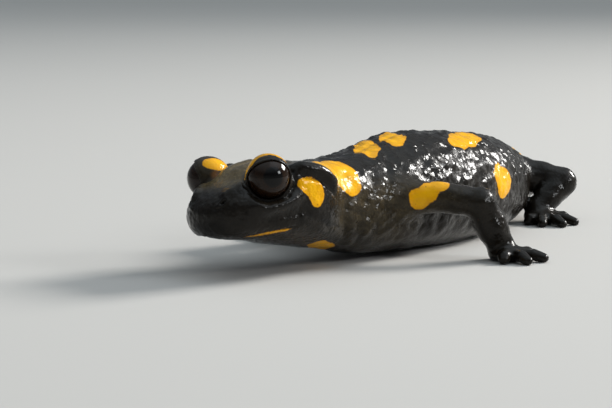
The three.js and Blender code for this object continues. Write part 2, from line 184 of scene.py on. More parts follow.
def bell(x, width):
    """1 at 0, falling off to both sides within about that width."""
    return np.exp(-((x / width) ** 2))


def curve_through(rows, column):
    """A smooth curve through the rows' column against s that doesn't overshoot, as in the solids."""
    x, y = (np.array([row[k] for row in rows], float) for k in (0, column))
    slope = np.diff(y) / np.diff(x)
    tangent = np.concatenate([slope[:1], np.zeros(len(x) - 2), slope[-1:]])
    before, after = slope[:-1], slope[1:]
    turns = before * after > 0
    tangent[1:-1][turns] = 2 * before[turns] * after[turns] / (before + after)[turns]

    def value(s):
        i = np.clip(np.searchsorted(x, s) - 1, 0, len(x) - 2)
        h = x[i + 1] - x[i]
        t = np.clip((s - x[i]) / h, 0, 1)
        swing = t * (1 - t) ** 2 * tangent[i] - t * t * (1 - t) * tangent[i + 1]
        return y[i] + (y[i + 1] - y[i]) * smooth(t) + swing * h

    return value


def union(a, b, blend):
    """The smaller of two distances, rounded where they are within blend of each other."""
    h = np.clip(0.5 + 0.5 * (b - a) / blend, 0, 1)
    return b + (a - b) * h - blend * h * (1 - h)


def cut(a, b, blend):
    """What is in a and outside b."""
    return -union(-a, b, blend)


# ------------ noise


def lattice(i, j, k, seed):
    """A fixed number from 0 to 1 for each lattice point."""
    n = (i * 73856093) ^ (j * 19349663) ^ (k * 83492791) ^ (seed * 49979687)
    n = (n ^ (n >> 13)) * 1274126177 & 0x7FFFFFFF
    n = (n ^ (n >> 15)) * 668265263 & 0x7FFFFFFF
    return (n & 0xFFFFFF) / 0x1000000


CORNERS = np.array(list(product((0, 1), repeat=3)))


def noise(p, size, seed):
    """Smooth noise from -1 to 1 with features of about that size."""
    base = np.floor(p / size).astype(np.int64)
    w = smooth(p / size - base)
    total = np.zeros(len(p))
    for corner in CORNERS:
        total += np.where(corner, w, 1 - w).prod(1) * lattice(*(base + corner).T, seed)
    return 2 * total - 1


def noise_rows(p, size, seed):
    """Three noises side by side, to shift points by."""
    return np.column_stack([noise(p, size, seed + k) for k in range(3)])


def domes(p, size, seed):
    """Rounded bumps of uneven height, 0 to 1, one to each cell of that size."""
    base = np.floor(p / size).astype(np.int64)
    nearest = np.full(len(p), 9.0)
    height = np.zeros(len(p))
    for around in product((-1, 0, 1), repeat=3):
        cell = base + around
        away = sum((p[:, k] / size - cell[:, k] - lattice(*cell.T, seed + k)) ** 2 for k in range(3))
        closer = away < nearest
        nearest[closer] = away[closer]
        height[closer] = lattice(*cell[closer].T, seed + 5)
    return np.clip(1 - nearest / 0.55, 0, 1) * (0.35 + 0.65 * height)


# ------------ the spine

half, back, belly, widest = (curve_through(SECTIONS, column) for column in (1, 2, 3, 4))
above, below = (curve_through(SQUARENESS, column) for column in (1, 2))
mouth_height = curve_through(MOUTH, 1)

SPINE_STEP = 0.5
SPINE_S = np.arange(0, TOTAL_LENGTH + SPINE_STEP / 2, SPINE_STEP)


def heading(s):
    return np.radians(HEAD_HEADING + sum(turn * step(s, s0, s1) for s0, s1, turn in BENDS))


def roll(s):
    return np.radians(HEAD_ROLL) * (1 - step(s, *ROLL_END))


def walk(direction):
    middle = SPINE_S[:-1] + SPINE_STEP / 2
    return np.concatenate([[0], -np.cumsum(SPINE_STEP * direction(heading(middle)))])


SPINE_X, SPINE_Y = walk(np.cos), walk(np.sin)


def spine_at(s):
    """The spine's place in plan. It goes straight on ahead of the snout and behind the tail."""
    h = heading(s)
    beyond = s - np.clip(s, 0, TOTAL_LENGTH)
    x, y = np.interp(s, SPINE_S, SPINE_X), np.interp(s, SPINE_S, SPINE_Y)
    return x - np.cos(h) * beyond, y - np.sin(h) * beyond


def place(s, v, z):
    """Rows of x, y and z for points given by s, v and z."""
    s, v, z = (np.asarray(a, float) for a in (s, v, z))
    h, r, lift = heading(s), roll(s), z - ROLL_HEIGHT
    side = v * np.cos(r) - lift * np.sin(r)
    x, y = spine_at(s)
    height = ROLL_HEIGHT + v * np.sin(r) + lift * np.cos(r)
    return np.stack([x - np.sin(h) * side, y + np.cos(h) * side, height], -1)


def from_spine(points):
    """How far points lie ahead and to the left of the spine's place at their column s."""
    x, y, _, s = points.T
    cx, cy = spine_at(s)
    h = heading(s)
    ahead = (x - cx) * np.cos(h) + (y - cy) * np.sin(h)
    return ahead, -(x - cx) * np.sin(h) + (y - cy) * np.cos(h)


def follow_spine(points):
    """Brings column s of the points up to date, from a first guess near it."""
    for _ in range(3):
        s = points[:, 3]
        ahead, side = from_spine(points)
        bend = heading(s + 0.5) - heading(s - 0.5)
        points[:, 3] = s - ahead / np.clip(1 + side * bend, 0.4, 2)


def body_places(points):
    """s, v and z of points whose column s is up to date."""
    height, s = points[:, 2], points[:, 3]
    _, side = from_spine(points)
    r, lift = roll(s), height - ROLL_HEIGHT
    v = side * np.cos(r) + lift * np.sin(r)
    return s, v, ROLL_HEIGHT - side * np.sin(r) + lift * np.cos(r)


# ------------ the field


def upper_or_lower(s, up):
    """Power and height of the section above its widest place, or below it."""
    tall = np.where(up, back(s) - widest(s), widest(s) - belly(s))
    return np.where(up, above(s), below(s)), tall


def on_section(s, angle):
    """v and z of the section's outline. Angle 0 is the left side, 90 the back, 180 the right side."""
    a = np.radians(angle)
    power, tall = upper_or_lower(s, np.sin(a) > 0)
    v = np.sign(np.cos(a)) * np.abs(np.cos(a)) ** (2 / power) * half(s)
    return v, widest(s) + np.sign(np.sin(a)) * np.abs(np.sin(a)) ** (2 / power) * tall


def section_angle(s, v, z):
    """The angle of a place on its section, as on_section takes it."""
    over = z - widest(s)
    power, tall = upper_or_lower(s, over > 0)
    across = np.sign(v) * (np.abs(v) / half(s)) ** (power / 2)
    return np.degrees(np.arctan2(np.sign(over) * (np.abs(over) / tall) ** (power / 2), across))


def section_measure(s, v, z):
    """How far out a place is, 0 at its section's middle and 1 at the outline, and how fast that grows."""
    power, tall = upper_or_lower(s, z > widest(s))
    across = np.abs(v) / half(s)
    high = np.abs(z - widest(s)) / tall
    rho = np.maximum((across**power + high**power) ** (1 / power), 1e-3)
    steepness = np.hypot((across / rho) ** (power - 1) / half(s), (high / rho) ** (power - 1) / tall)
    return rho, steepness


def on_plain_skin(s, v, z):
    """Rows of s, v and z, with each place moved straight out or in to its section's outline."""
    rho, _ = section_measure(s, v, z)
    return np.column_stack([s, v / rho, widest(s) + (z - widest(s)) / rho])


def trunk_distance(s, v, z):
    """Distance from the surface of head, neck, trunk and tail as plain rounded sections."""
    rho, steepness = section_measure(s, v, z)
    front = s < TOTAL_LENGTH / 2
    cap = np.where(front, 1 - s / SNOUT_ROUND, 1 - (TOTAL_LENGTH - s) / TAIL_ROUND).clip(0)
    power = np.where(front, SNOUT_POWER, TAIL_POWER)
    full = (rho**power + cap**power) ** (1 / power)
    along = (cap / full) ** (power - 1) / np.where(front, SNOUT_ROUND, TAIL_ROUND)
    return (full - 1) / np.maximum(np.hypot(steepness * (rho / full) ** (power - 1), along), 0.04)


def limb_share(s, v, z):
    """0 on the trunk, 1 on the limbs."""
    return step(trunk_distance(s, v, z), 0.2, 1.6)


def from_line(p, a, b):
    """Distance from a straight line from a to b, and how far along it, 0 to 1."""
    way = b - a
    t = np.clip((p - a) @ way / (way @ way), 0, 1)
    return np.linalg.norm(p - a - t[:, None] * way, axis=1), t


def bar_distance(p, a, b, radii, flat=1.0):
    """Distance from a round bar from a to b, with radii at its start, middle and end."""
    scale = np.array([1, 1, 1 / flat])
    away, t = from_line(p * scale, a * scale, b * scale)
    first, middle, last = radii
    return away - (first + (middle - first) * step(t, 0, 0.5) + (last - middle) * step(t, 0.5, 1))


def egg_distance(p, centre, axes, sizes):
    """Distance from an ellipsoid whose axes are rows."""
    q = (p - centre) @ np.asarray(axes).T / sizes
    rho = np.maximum(np.sqrt((q**2).sum(1)), 1e-3)
    return (rho - 1) / np.sqrt(((q / rho[:, None] / sizes) ** 2).sum(1))


def turned(angle, pitch=0.0):
    """Axes turned about the vertical: ahead, left and up, with ahead tipped up by pitch."""
    c, s, cp, sp = math.cos(angle), math.sin(angle), math.cos(pitch), math.sin(pitch)
    return np.array([[c * cp, s * cp, sp], [-s, c, 0], [-c * sp, -s * sp, cp]])


class Limb:
    """Joints of one limb, and the distance from it."""

    def __init__(self, shape, side, root, upper_step, lower_step, aim):
        h = float(heading(root[0]))
        self.side = side
        self.radii = shape["radii"]
        self.root = place(root[0], side * root[1], root[2])
        self.joint = self.root + self.moved(upper_step, h)
        self.ankle = self.joint + self.moved(lower_step, h)
        outward = h + side * math.radians(90 - aim)
        length, _, height = shape["palm"]
        self.palm_sizes = np.array(shape["palm"])
        self.palm_axes = turned(outward)
        self.palm = self.ankle + self.palm_axes[0] * length * PALM_AHEAD
        self.palm[2] = height * PALM_UP
        self.digits = [self.digit(outward, angle, reach) for angle, reach in shape["digits"]]

    def moved(self, way, h):
        back_, out, up = way
        return np.array([-back_, self.side * out, up]) @ turned(h)

    def digit(self, outward, angle, length):
        """Root, middle and tip of a digit."""
        way = turned(outward - self.side * math.radians(angle))[0]
        reach = self.palm_sizes[0] * DIGIT_BASE
        shares = (reach * DIGIT_ROOT, reach + length * DIGIT_MIDDLE, reach + length - DIGIT_RADII[2])
        return [np.append((self.palm + way * out)[:2], z) for out, z in zip(shares, DIGIT_HEIGHTS)]

    def near(self, p):
        points = np.array([self.root, self.joint, self.ankle, *[tip for *_, tip in self.digits]])
        return ((p > points.min(0) - LIMB_REACH) & (p < points.max(0) + LIMB_REACH)).all(1)

    def upper(self, p):
        _, t = from_line(p, self.root, self.joint)
        bent = p - np.outer(4 * LIMB_ARCH * t * (1 - t), [0, 0, 1])
        return bar_distance(bent, self.root, self.joint, self.radii[:3])

    def lower(self, p):
        return bar_distance(p, self.joint, self.ankle, self.radii[2:])

    def foot(self, p):
        d = egg_distance(p, self.palm, self.palm_axes, self.palm_sizes)
        root, middle, tip = DIGIT_RADII
        for a, b, c in self.digits:
            rear = bar_distance(p, a, b, (root, (root + middle) / 2, middle), DIGIT_FLATNESS)
            front = bar_distance(p, b, c, (middle, middle * 0.97, tip), DIGIT_FLATNESS)
            d = union(d, union(rear, front, LIMB_BLEND["digit joint"]), LIMB_BLEND["digit"])
        return d


class Eye:
    """One eye's centre and the directions of its gaze."""

    def __init__(self, side):
        self.side = side
        self.word = "left" if side > 0 else "right"
        self.centre = place(EYE_S, side * EYE_V, EYE_Z)
        out = float(heading(EYE_S)) + side * math.radians(GAZE_OUT)
        self.gaze, self.across, self.rise = turned(out, math.radians(GAZE_UP))

    def opening(self, q):
        """Negative in the uneven cone where the lids are open; q is from the eye's centre."""
        slope = {way: math.tan(math.radians(angle)) for way, angle in LID_OPENING.items()}
        back_, up = q @ self.across * self.side, q @ self.rise
        wide = np.where(back_ > 0, slope["rear"], slope["front"])
        high = np.where(up > 0, slope["up"], slope["down"])
        return (np.hypot(back_ / wide, up / high) - q @ self.gaze) * OPENING_SCALE

    def away(self, p):
        """Distance of points from the eye's centre."""
        return np.linalg.norm(p - self.centre, axis=1)


SIDES = (1, -1)
EYES = [Eye(side) for side in SIDES]
LIMB_SHAPES = {name: Limb(LEG if "leg" in name else ARM, *rest) for name, rest in LIMBS.items()}


def head_distance(p, d, swell):
    """Adds glands and lids to the head's plain distance d, then opens the lids."""
    for side in SIDES:
        centre = place(PAROTOID_AT[0], side * PAROTOID_AT[1], PAROTOID_AT[2])
        axes = turned(float(heading(PAROTOID_AT[0])) + side * math.radians(PAROTOID_TOE))
        d = union(d, egg_distance(p, centre, axes, np.array(PAROTOID_SIZE)), BLEND["gland"])
    for eye in EYES:
        r = eye.away(p)
        d = union(d, r - LID - 0.25 * swell, BLEND["lid"])
        d = cut(d, r - SOCKET + 0.5 * swell, BLEND["socket"])
        d = cut(d, np.maximum(eye.opening(p - eye.centre), r - LID - 0.5), BLEND["lid edge"])
    return d


def field(points, swell=0.0):
    """Distance outside the skin without its relief. swell thickens the lids for the coarse first mesh."""
    p = points[:, :3]
    s, v, z = body_places(points)
    d = trunk_distance(s, v, z)
    i = (s < HEAD_END) & (d < 6)
    d[i] = head_distance(p[i], d[i], swell)
    for limb in LIMB_SHAPES.values():
        i = limb.near(p)
        q, upper = p[i], limb.upper(p[i])
        lower = union(limb.lower(q), limb.foot(q), LIMB_BLEND["foot"])
        whole = union(d[i], upper, LIMB_BLEND["root"])
        d[i] = union(whole, np.minimum(lower, upper + LOWER_FAR), LIMB_BLEND["joint"])
    return cut(d, p[:, 2], BLEND["ground"])


def slopes(points, reach=0.05):
    """The field's gradient."""
    out = np.zeros((len(points), 3))
    for k, way in product(range(3), (reach, -reach)):
        moved = points.copy()
        moved[:, k] += way
        follow_spine(moved)
        out[:, k] += field(moved) / (2 * way)
    return out


def settle(points, rounds):
    """Moves points onto the skin's surface, and returns its outward directions there."""
    for _ in range(rounds):
        g = slopes(points)
        size = np.maximum((g**2).sum(1), 0.05)
        d = field(points)
        points[:, :3] -= (g * (d / size)[:, None]).clip(-GRID, GRID)
        points[:, 2] = points[:, 2].clip(0)
        follow_spine(points)
    return g / np.linalg.norm(g, axis=1)[:, None].clip(1e-6)


# ------------ meshing

CORNER_PAIRS = [(a, b) for a in range(8) for b in range(a + 1, 8)]
CELL_EDGES = [(a, b) for a, b in CORNER_PAIRS if abs(CORNERS[a] - CORNERS[b]).sum() == 1]


def surface_net(values):
    """The zero surface of a grid of values: a point in each cell it passes, a quad at each grid edge."""
    inside = values < 0
    shape = np.array(values.shape) - 1
    part = [inside[i : i + shape[0], j : j + shape[1], k : k + shape[2]] for i, j, k in CORNERS]
    total = sum(p.astype(np.uint8) for p in part)
    cells = np.argwhere((total > 0) & (total < 8))
    number = np.full(shape, -1)
    number[tuple(cells.T)] = np.arange(len(cells))
    value = np.stack([values[tuple((cells + c).T)] for c in CORNERS], 1)
    middle = np.zeros((len(cells), 3))
    count = np.zeros(len(cells))
    for a, b in CELL_EDGES:
        crossed = (value[:, a] < 0) != (value[:, b] < 0)
        gap = np.where(crossed, value[:, a] - value[:, b], 1)
        t = np.where(crossed, value[:, a] / gap, 0)
        middle += crossed[:, None] * (CORNERS[a] + (CORNERS[b] - CORNERS[a]) * t[:, None])
        count += crossed
    quads = []
    for axis in range(3):
        u, w = (axis + 1) % 3, (axis + 2) % 3
        ahead = np.roll(inside, -1, axis)
        ends = [slice(1, -1)] * 3
        ends[axis] = slice(0, -1)
        changed = np.argwhere((inside != ahead)[tuple(ends)])
        changed += [e.start for e in ends]
        corner = []
        for du, dw in ((-1, -1), (0, -1), (0, 0), (-1, 0)):
            at = changed.copy()
            at[:, u] += du
            at[:, w] += dw
            corner.append(number[tuple(at.T)])
        quad = np.stack(corner, 1)
        outward = inside[tuple(changed.T)]
        quads.append(np.where(outward[:, None], quad, quad[:, ::-1]))
    return cells + middle / count[:, None], np.concatenate(quads)


def coarse_skin():
    """The first mesh: rows of x, y, z and s, and triangles."""
    low, high = np.array([list(c) for c in CAD_BOX]) / MM - SHIFT
    axes = [np.arange(low[k] - 2 * GRID, high[k] + 2 * GRID, GRID) for k in range(3)]
    axes[2] += GRID / 2
    plan = np.stack(np.meshgrid(axes[0], axes[1], indexing="ij"), -1).reshape(-1, 2)
    guesses = np.arange(-2, TOTAL_LENGTH + 2, 2)
    spine = np.stack(spine_at(guesses), 1)
    nearest = np.array([((spine - q) ** 2).sum(1).argmin() for q in plan])
    columns = np.column_stack([plan, np.zeros(len(plan)), guesses[nearest]])
    follow_spine(columns)
    layers = []
    for z in axes[2]:
        columns[:, 2] = z
        layers.append(field(columns, swell=1.0))
    shape = [len(axis) for axis in axes[:2]]
    places, quads = surface_net(np.stack(layers, -1).reshape(*shape, -1))
    cell = np.round(places[:, :2]).astype(int)
    s = columns[:, 3].reshape(shape)[tuple(cell.T)]
    points = np.column_stack([[axis[0] for axis in axes] + GRID * places, s])
    follow_spine(points)
    corner = points[quads, :3]
    diagonal = np.linalg.norm(corner[:, :2] - corner[:, 2:], axis=2)
    first = (diagonal[:, 0] <= diagonal[:, 1])[:, None]
    halves = (([0, 1, 2], [0, 1, 3]), ([0, 2, 3], [1, 2, 3]))
    return points, np.concatenate([np.where(first, quads[:, a], quads[:, b]) for a, b in halves])


def edges_of(tris, count):
    """Each edge once, and the numbers of each triangle's three edges."""
    pairs = np.sort(np.concatenate([tris[:, [0, 1]], tris[:, [1, 2]], tris[:, [2, 0]]]), 1)
    keys, number = np.unique(pairs[:, 0] * count + pairs[:, 1], return_inverse=True)
    return np.stack([keys // count, keys % count], 1), number.reshape(3, -1).T


def refine(points, tris):
    """Splits the edges that are too long for their place, and the triangles with them."""
    edges, of_tri = edges_of(tris, len(points))
    ends = points[edges]
    middle = ends.mean(1)
    split = np.linalg.norm(ends[:, 0, :3] - ends[:, 1, :3], axis=1) > SPLIT_OVER * wanted_edge(middle)
    new = np.full(len(edges), -1)
    new[split] = len(points) + np.arange(split.sum())
    m = new[of_tri]
    splits = (m >= 0).sum(1)
    out = [tris[splits == 0]]
    (a, b, c), (ab, bc, ca) = tris[splits == 3].T, m[splits == 3].T
    out += [np.stack(t, 1) for t in ((a, ab, ca), (ab, b, bc), (ca, bc, c), (ab, bc, ca))]
    for turn in range(3):
        order = [turn, (turn + 1) % 3, (turn + 2) % 3]
        one = (splits == 1) & (m[:, order[0]] >= 0)
        (a, b, c), ab = tris[one][:, order].T, m[one, order[0]]
        out += [np.stack(t, 1) for t in ((a, ab, c), (ab, b, c))]
        two = (splits == 2) & (m[:, order[2]] < 0)
        (a, b, c), (ab, bc) = tris[two][:, order].T, m[two][:, order[:2]].T
        out += [np.stack(t, 1) for t in ((ab, b, bc), (a, ab, bc), (a, bc, c))]
    return np.concatenate([points, middle[split]]), np.concatenate(out)


def relax(points, tris, outward, amount):
    """Evens out the mesh along the surface."""
    edges, _ = edges_of(tris, len(points))
    a, b = edges.T
    count = np.bincount(edges.ravel(), minlength=len(points)).clip(1)
    total = [np.bincount(a, q[b], len(q)) + np.bincount(b, q[a], len(q)) for q in points[:, :3].T]
    move = np.stack(total, 1) / count[:, None] - points[:, :3]
    move -= outward * (move * outward).sum(1)[:, None]
    points[:, :3] += amount * move


def wanted_edge(points):
    """The edge length wanted at each place."""
    p = points[:, :3]
    s, v, z = body_places(points)
    out = np.full(len(p), COARSE)
    out[s < 24] = FINE_HEAD
    mouth = (np.abs(z - mouth_height(s)) < 0.7) & (s < 12.5)
    nostril = (s < 2.6) & (z > 10) & (z < 13) & (np.abs(v) > 2)
    out[mouth | nostril] = FINE_FACE
    for eye in EYES:
        r = eye.away(p)
        out[r < 4.3] = FINE_FACE
        out[r < SOCKET + 0.12] = GRID
    low = (trunk_distance(s, v, z) > 0.8) & (z < 4)
    for limb in LIMB_SHAPES.values():
        out[low & (np.linalg.norm(p - limb.palm, axis=1) < 10)] = FINE_FOOT
    return out


# ------------ relief


def to_path(q, path):
    """Distance of rows of s, v and z from a line on the plain skin, and how far along it, 0 to 1."""
    s, angle = np.array(path, float).T
    knots = np.column_stack([s, *on_section(s, angle)])
    best = np.full(len(q), 99.0)
    along = np.zeros(len(q))
    for i, (a, b) in enumerate(zip(knots, knots[1:])):
        away, t = from_line(q, a, b)
        closer = away < best
        best[closer] = away[closer]
        along[closer] = (i + t[closer]) / (len(knots) - 1)
    return best, along


def ridge(q, path, width):
    """1 on the line, falling off to the sides and towards its two ends."""
    away, along = to_path(q, path)
    return bell(away, width) * between(along, 0, 0.25, 0.75, 1)


# Lines on the head and neck of both sides: height (negative is a groove), width, path of (s, angle).
FACE_LINES = [
    # the cheek's ledge, the hollow between it and the eye, and the one under it
    (0.85, 1.0, [(3, 24), (4.6, 10), (6.3, 3), (8.1, 4), (10, 7), (11.6, 10), (13.4, 13)]),
    (-0.7, 0.6, [(4.4, 44), (5.3, 28), (6.4, 17), (8.1, 15), (9.9, 18), (11.5, 24), (12.6, 29)]),
    (-0.4, 0.8, [(4.4, -6), (6.9, -10), (9.3, -8), (11.6, -4), (13.2, 0)]),
    # the forehead, and the edge from nostril to eye
    (0.8, 2.2, [(5, 88), (9.5, 85), (15, 82)]),
    (0.55, 0.9, [(1.4, 62), (2.6, 58), (4.4, 56), (6, 60)]),
    # the ridge over the gland and the groove under it
    (1.05, 1.15, [(11.3, 53), (13.8, 44), (16.2, 36), (18.5, 28), (21.4, 18)]),
    (-0.65, 0.4, [(12, 38), (13.6, 33), (15.9, 26), (18.4, 17), (20.4, 6)]),
    # behind the mouth's corner, and the fold of the throat in two lines
    (-0.3, 0.6, [(12.2, 2), (13.6, -10), (17, -22), (21, -30)]),
    (-0.3, 0.8, [(26.6, 30), (25, 14), (23.4, 4), (22.8, -12), (23.6, -30), (24.6, -52), (25.4, -88)]),
    (-0.2, 0.45, [(28.2, 12), (26.4, 0), (26, -16), (27, -42), (27.6, -86)]),
    # wrinkles of the neck
    (-0.2, 0.26, [(22.6, 12), (25, 5), (28.6, 3), (31, -4)]),
    (-0.24, 0.26, [(21.2, 2), (24.3, -4), (26.8, -9), (29.6, -16)]),
    (-0.22, 0.28, [(20.2, -10), (24, -17), (27, -21), (30, -30)]),
    (-0.2, 0.28, [(19, -24), (22.4, -31), (27, -36)]),
    (-0.16, 0.3, [(25.4, 15), (28.4, 13), (31.5, 6)]),
    (-0.18, 0.5, [(31.6, 62), (30, 38), (28.6, 18), (28.2, 2)]),
]
NOSTRIL = [(1.3, 43), (1.55, 45)]
MOUTH_CORNER = 11.6


def face_relief(s, z, q):
    """Height of lips, nostrils, folds and wrinkles on the head and neck."""
    out = np.zeros(len(s))
    for height, width, path in FACE_LINES:
        out += height * ridge(q, path, width)
    over = z - mouth_height(s)
    mouth = 1 - step(s, MOUTH_CORNER - 2.2, MOUTH_CORNER + 0.4)
    lips = np.where(over > 0, 0.26 * np.exp(-over / 0.9), -0.2 * np.exp(over / 0.8))
    out += (lips - 0.42 * bell(over, 0.13)) * mouth
    pit, _ = to_path(q, NOSTRIL)
    return out + 0.16 * bell(pit - 0.45, 0.26) - 0.45 * bell(pit, 0.19)


def lid_relief(p):
    """Creases of the lids, small folds behind the eye, and the groove where the lids leave the head."""
    out = np.zeros(len(p))
    for eye in EYES:
        q = p - eye.centre
        r = eye.away(p)
        turn = np.degrees(np.arccos(np.clip(q @ eye.gaze / r, -1, 1)))
        near = bell(np.maximum(r - 4, 0), 0.5) * (r > SOCKET + 0.1)
        crease = bell(eye.opening(q) - 0.7, 0.16)
        folds = np.cos(np.radians(turn) * 34 + noise(p, 1.6, 31) * 1.4) * step(turn, 70, 80)
        behind = step(q @ eye.across * eye.side, 0.4, 2.4) * step(-q[:, 2], -2.6, -0.4)
        foot = bell(r - 4.02, 0.3) * step(turn, 70, 95)
        out += 0.05 * near * (folds * behind - crease) - 0.09 * foot
    return out


COSTAL_FROM, COSTAL_TO, COSTAL_STEP = 38.5, 86, 4.3
TAIL_RINGS_FROM, TAIL_RINGS_TO, TAIL_RING_STEP = 101, 172, 3.7
GLAND_STEP = 2.05
GLAND_ROW = ([24, 50, 90, 170], [2.6, 3.0, 2.0, 0.9])  # s, and how far the row is from the back's middle
WART, GRAIN = 1.9, 0.8  # sizes of the bumps


def repeats(s, stride):
    """Distance from the nearest multiple of the stride."""
    return np.abs(s / stride - np.round(s / stride)) * stride


def body_relief(s, v, z, angle, p):
    """Height of the trunk's and tail's grooves and gland rows. angle is folded onto the left side."""
    wobble = 0.35 * noise(p, 6.0, 11)
    costal = s + 0.035 * (angle - 10) + wobble - COSTAL_FROM
    ribs = between(s, COSTAL_FROM - 3, COSTAL_FROM + 1, COSTAL_TO - 1, COSTAL_TO + 3)
    depth = 0.08 + 0.2 * step(angle, -30, 5) - 0.12 * step(angle, 15, 45)
    groove = 0.42 * bell(repeats(costal, COSTAL_STEP), 0.38)
    swell = 0.16 * np.cos(costal / COSTAL_STEP * 2 * np.pi)
    out = -ribs * between(angle, -62, -30, 56, 74) * depth * (swell + groove)
    ring = s + 0.03 * angle + wobble - TAIL_RINGS_FROM
    rings = between(s, TAIL_RINGS_FROM - 4, TAIL_RINGS_FROM + 1, TAIL_RINGS_TO - 30, TAIL_RINGS_TO)
    out -= rings * 0.26 * bell(repeats(ring, TAIL_RING_STEP), 0.35) * (1 - step(angle, 66, 84))
    crown = between(s, 24, 34, 150, 170) * (z > widest(s))
    gland = np.hypot(repeats(s + 0.3 * np.sign(v), GLAND_STEP), np.abs(v) - np.interp(s, *GLAND_ROW))
    return out + crown * (0.2 * bell(gland, 0.62) - 0.2 * bell(gland, 0.2) - 0.3 * bell(v, 0.7))


def relief(points):
    """Height of the skin's relief at each point."""
    p = points[:, :3]
    s, v, z = body_places(points)
    v_fold = np.abs(v)
    q = on_plain_skin(s, v_fold, z) + noise_rows(p, 2.5, 21) * 0.22
    angle = section_angle(s, v_fold, z)
    limb = limb_share(s, v, z) * step(s, 26, 30)
    head = 1 - step(s, 20, 26)
    nearest = np.min([eye.away(p) for eye in EYES], axis=0)
    off_eye = step(nearest, 3.75, 4.2)
    out = 0.13 * noise(p, 4.5, 1) + 0.06 * noise(p, 1.7, 2)
    i = s < 34
    out[i] += face_relief(s[i], z[i], q[i]) * off_eye[i]
    i = s < 14
    out[i] += lid_relief(p[i])
    i = s > 22
    out[i] += body_relief(s[i], v[i], z[i], angle[i], p[i]) * (1 - limb[i])
    warts = (domes(p, WART, 41) - 0.5) * 0.4 * (1 - head) * (1 - 0.6 * limb)
    grains = domes(p, GRAIN, 47) * (0.05 + 0.05 * head) * off_eye
    out += (warts + grains) * (0.35 + 0.65 * step(z, 2.5, 6))
    in_socket = nearest < SOCKET + 0.1
    return out * step(p[:, 2], 0.02, 0.7) * ~in_socket


# ------------ markings

# Yellow spots on head, trunk and tail, each a thick line through (s, angle, radius).
SPOTS = [
    # left side of the head and neck
    [(25, 22, 1.5), (24.4, 35, 2.5), (24.2, 53, 2.8), (24.9, 70, 1.5)],
    [(23.5, 44, 2.8), (19.8, 42, 1.7), (17.2, 47, 0.8)],
    [(12.4, 25, 0.65), (13.5, 22, 0.95), (14.8, 16.5, 1.2), (15.1, 8, 1.15), (15, 4, 0.8)],
    [(19.8, -65, 1.6), (22.5, -74, 1.9), (23.5, -84, 1.4)],
    # back and left flank
    [(34.2, 70, 1), (36, 84, 2), (38.6, 97, 1.5), (40.6, 107, 0.7)],
    [(41.2, 73, 1.2), (42.9, 84, 2), (45, 93, 1.7), (46.4, 98, 1.1)],
    [(54.4, 56, 1.7), (58.5, 63, 2.2), (63.6, 70, 2.1), (66, 72, 1.5)],
    [(61.8, 19, 1.7), (62.6, 11, 2.6), (62.2, 4, 1.6)],
    # right side
    [(13.2, 152, 0.9), (15, 158, 1.3), (15.8, 170, 1.2)],
    [(20.5, 133, 1.2), (23.5, 138, 2.4), (25, 150, 2.2), (25.4, 160, 1.1)],
    [(31, 124, 1.4), (34.5, 130, 2.1), (37, 137, 1.3)],
    [(47.5, 128, 1.8), (51, 134, 2.6), (55.5, 128, 1.9)],
    [(60.5, 166, 1.6), (63.5, 172, 2)],
    [(63.5, 118, 1.6), (68, 124, 2.6), (72.5, 119, 1.7)],
    [(77, 134, 1.4), (80.5, 140, 2), (83, 137, 1.2)],
    [(45, 176, 1.3), (47, 184, 1.5)],
    # tail
    [(89, 112, 1.6), (93, 106, 2.2), (97, 108, 1.3)],
    [(101.5, 72, 1.2), (105.5, 64, 1.9), (108.5, 66, 1.1)],
    [(112, 118, 1.3), (116.5, 112, 2), (120, 116, 1.2)],
    [(124, 66, 1.2), (128.5, 74, 1.7), (132.5, 70, 1)],
    [(138, 108, 1.1), (142.5, 98, 1.6), (146, 102, 0.9)],
    [(152.5, 74, 1), (156.5, 84, 1.3), (159.5, 80, 0.8)],
    [(167.5, 98, 0.9), (170.5, 90, 1.1)],
    [(121, 172, 1), (123.5, 176, 1.2)],
    [(110, 2, 0.9), (112.5, 6, 1.1)],
]
# The thin yellow edge of the lower lip: from s, to s, depth under the mouth line, half width.
LIP_EDGE_FROM, LIP_EDGE_TO, LIP_EDGE_DEPTH, LIP_EDGE_WIDTH = 5, 11.2, 0.42, 0.17

# Spots on the lids, through (s, v, z, radius), and the orange one on the forehead.
LID_SPOTS = [
    [(5.2, 4.2, 15.4, 0.7), (6.1, 5.1, 17.2, 1.25), (7.7, 6.1, 18.3, 1.25)]
    + [(9.3, 7.6, 18.1, 0.95), (10.3, 8.7, 17.3, 0.5)],
    [(6.8, -4.7, 17.4, 1.05), (8, -4.1, 17.2, 1.1), (9.8, -4.3, 16.9, 0.55)],
]
FOREHEAD_SPOT, FOREHEAD_RADIUS = (6.8, -3.3, 15.5), 1.2

# Spots on the limbs: limb, bone (0 upper, 1 lower), share of its length, turn about it, radius.
LIMB_SPOTS = [
    ("arm_left", 0, 0.38, 22, 1.7),
    ("arm_left", 0, 0.48, 48, 1.7),
    ("arm_left", 0, 0.58, 76, 1.6),
    ("arm_right", 0, 0.62, 80, 2.1),
    ("arm_right", 1, 0.75, 60, 1.0),
    ("leg_left", 0, 0.62, 168, 1.7),
    ("leg_right", 0, 0.60, 85, 2.3),
    ("leg_right", 1, 0.55, 100, 1.2),
]


def thick_line(q, knots):
    """Distance from rows of q to a line through rows of a place and a radius, with soft corners."""
    knots = np.array(knots, float)
    best = np.full(len(q), 9.0)
    for a, b in zip(knots, knots[1:]):
        away, t = from_line(q, a[:3], b[:3])
        best = union(best, away - (a[3] + (b[3] - a[3]) * t), CORNER_BLEND)
    return best


